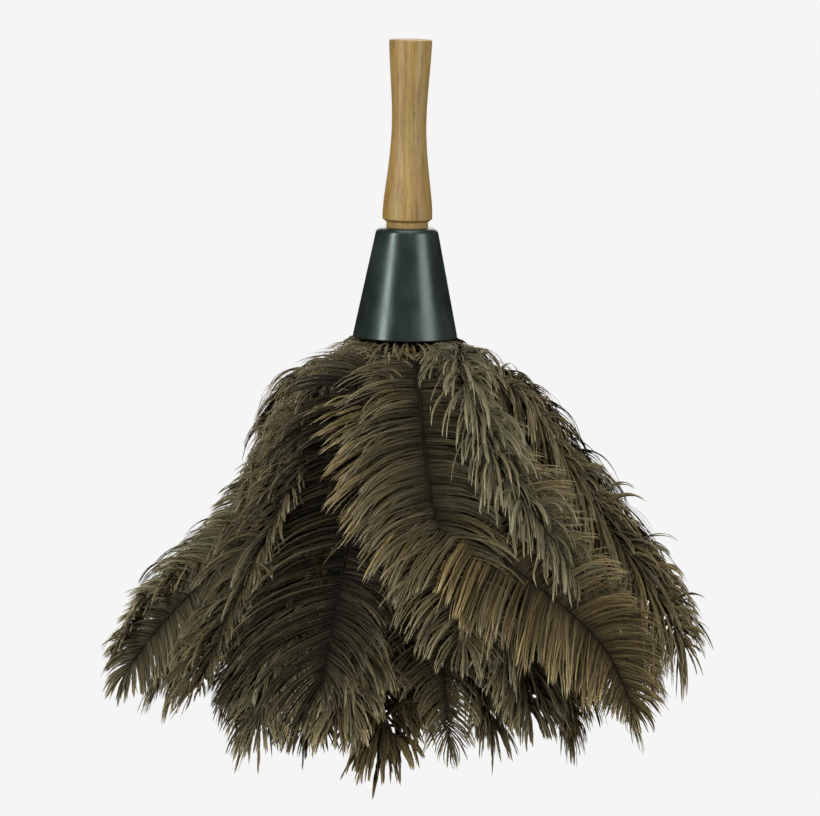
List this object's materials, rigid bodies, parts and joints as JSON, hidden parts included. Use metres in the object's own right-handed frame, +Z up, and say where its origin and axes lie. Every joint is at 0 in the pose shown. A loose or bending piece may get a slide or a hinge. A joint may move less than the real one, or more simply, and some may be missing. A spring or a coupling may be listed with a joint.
{
  "type": "feather duster",
  "caption": "Short-handled feather duster: turned wooden grip, black conical cap, and layered brown ostrich plumes hanging in a bell.",
  "frame": {"origin": "centre of the handle's end face", "axes": "+Z up along the handle, so the plumes hang towards -Z; -Y is the front"},
  "size_m": [0.3666, 0.3666, 0.4381],
  "materials": {
    "turned_wood": "satin lacquered, straight grained",
    "cap_plastic": "satin black moulding, lightly scuffed",
    "binding_steel": "drawn wire",
    "ostrich_feather": "soft downy barbs, dark brown with paler tips"
  },
  "bodies": {
    "root": {"binding_wire_core": "binding_steel", "binding_wire_inner": "binding_steel", "binding_wire_middle": "binding_steel", "binding_wire_outer": "binding_steel", "cap": "cap_plastic", "feather_core_01": "ostrich_feather", "feather_core_02": "ostrich_feather", "feather_core_03": "ostrich_feather", "feather_core_04": "ostrich_feather", "feather_core_05": "ostrich_feather", "feather_core_06": "ostrich_feather", "feather_core_07": "ostrich_feather", "feather_core_08": "ostrich_feather", "feather_inner_01": "ostrich_feather", "feather_inner_02": "ostrich_feather", "feather_inner_03": "ostrich_feather", "feather_inner_04": "ostrich_feather", "feather_inner_05": "ostrich_feather", "feather_inner_06": "ostrich_feather", "feather_inner_07": "ostrich_feather", "feather_inner_08": "ostrich_feather", "feather_inner_09": "ostrich_feather", "feather_inner_10": "ostrich_feather", "feather_inner_11": "ostrich_feather", "feather_inner_12": "ostrich_feather", "feather_middle_01": "ostrich_feather", "feather_middle_02": "ostrich_feather", "feather_middle_03": "ostrich_feather", "feather_middle_04": "ostrich_feather", "feather_middle_05": "ostrich_feather", "feather_middle_06": "ostrich_feather", "feather_middle_07": "ostrich_feather", "feather_middle_08": "ostrich_feather", "feather_middle_09": "ostrich_feather", "feather_middle_10": "ostrich_feather", "feather_middle_11": "ostrich_feather", "feather_middle_12": "ostrich_feather", "feather_middle_13": "ostrich_feather", "feather_middle_14": "ostrich_feather", "feather_outer_01": "ostrich_feather", "feather_outer_02": "ostrich_feather", "feather_outer_03": "ostrich_feather", "feather_outer_04": "ostrich_feather", "feather_outer_05": "ostrich_feather", "feather_outer_06": "ostrich_feather", "feather_outer_07": "ostrich_feather", "feather_outer_08": "ostrich_feather", "feather_outer_09": "ostrich_feather", "feather_outer_10": "ostrich_feather", "feather_outer_11": "ostrich_feather", "feather_outer_12": "ostrich_feather", "feather_outer_13": "ostrich_feather", "feather_outer_14": "ostrich_feather", "feather_outer_15": "ostrich_feather", "feather_outer_16": "ostrich_feather", "handle": "turned_wood"}
  },
  "joints": []
}
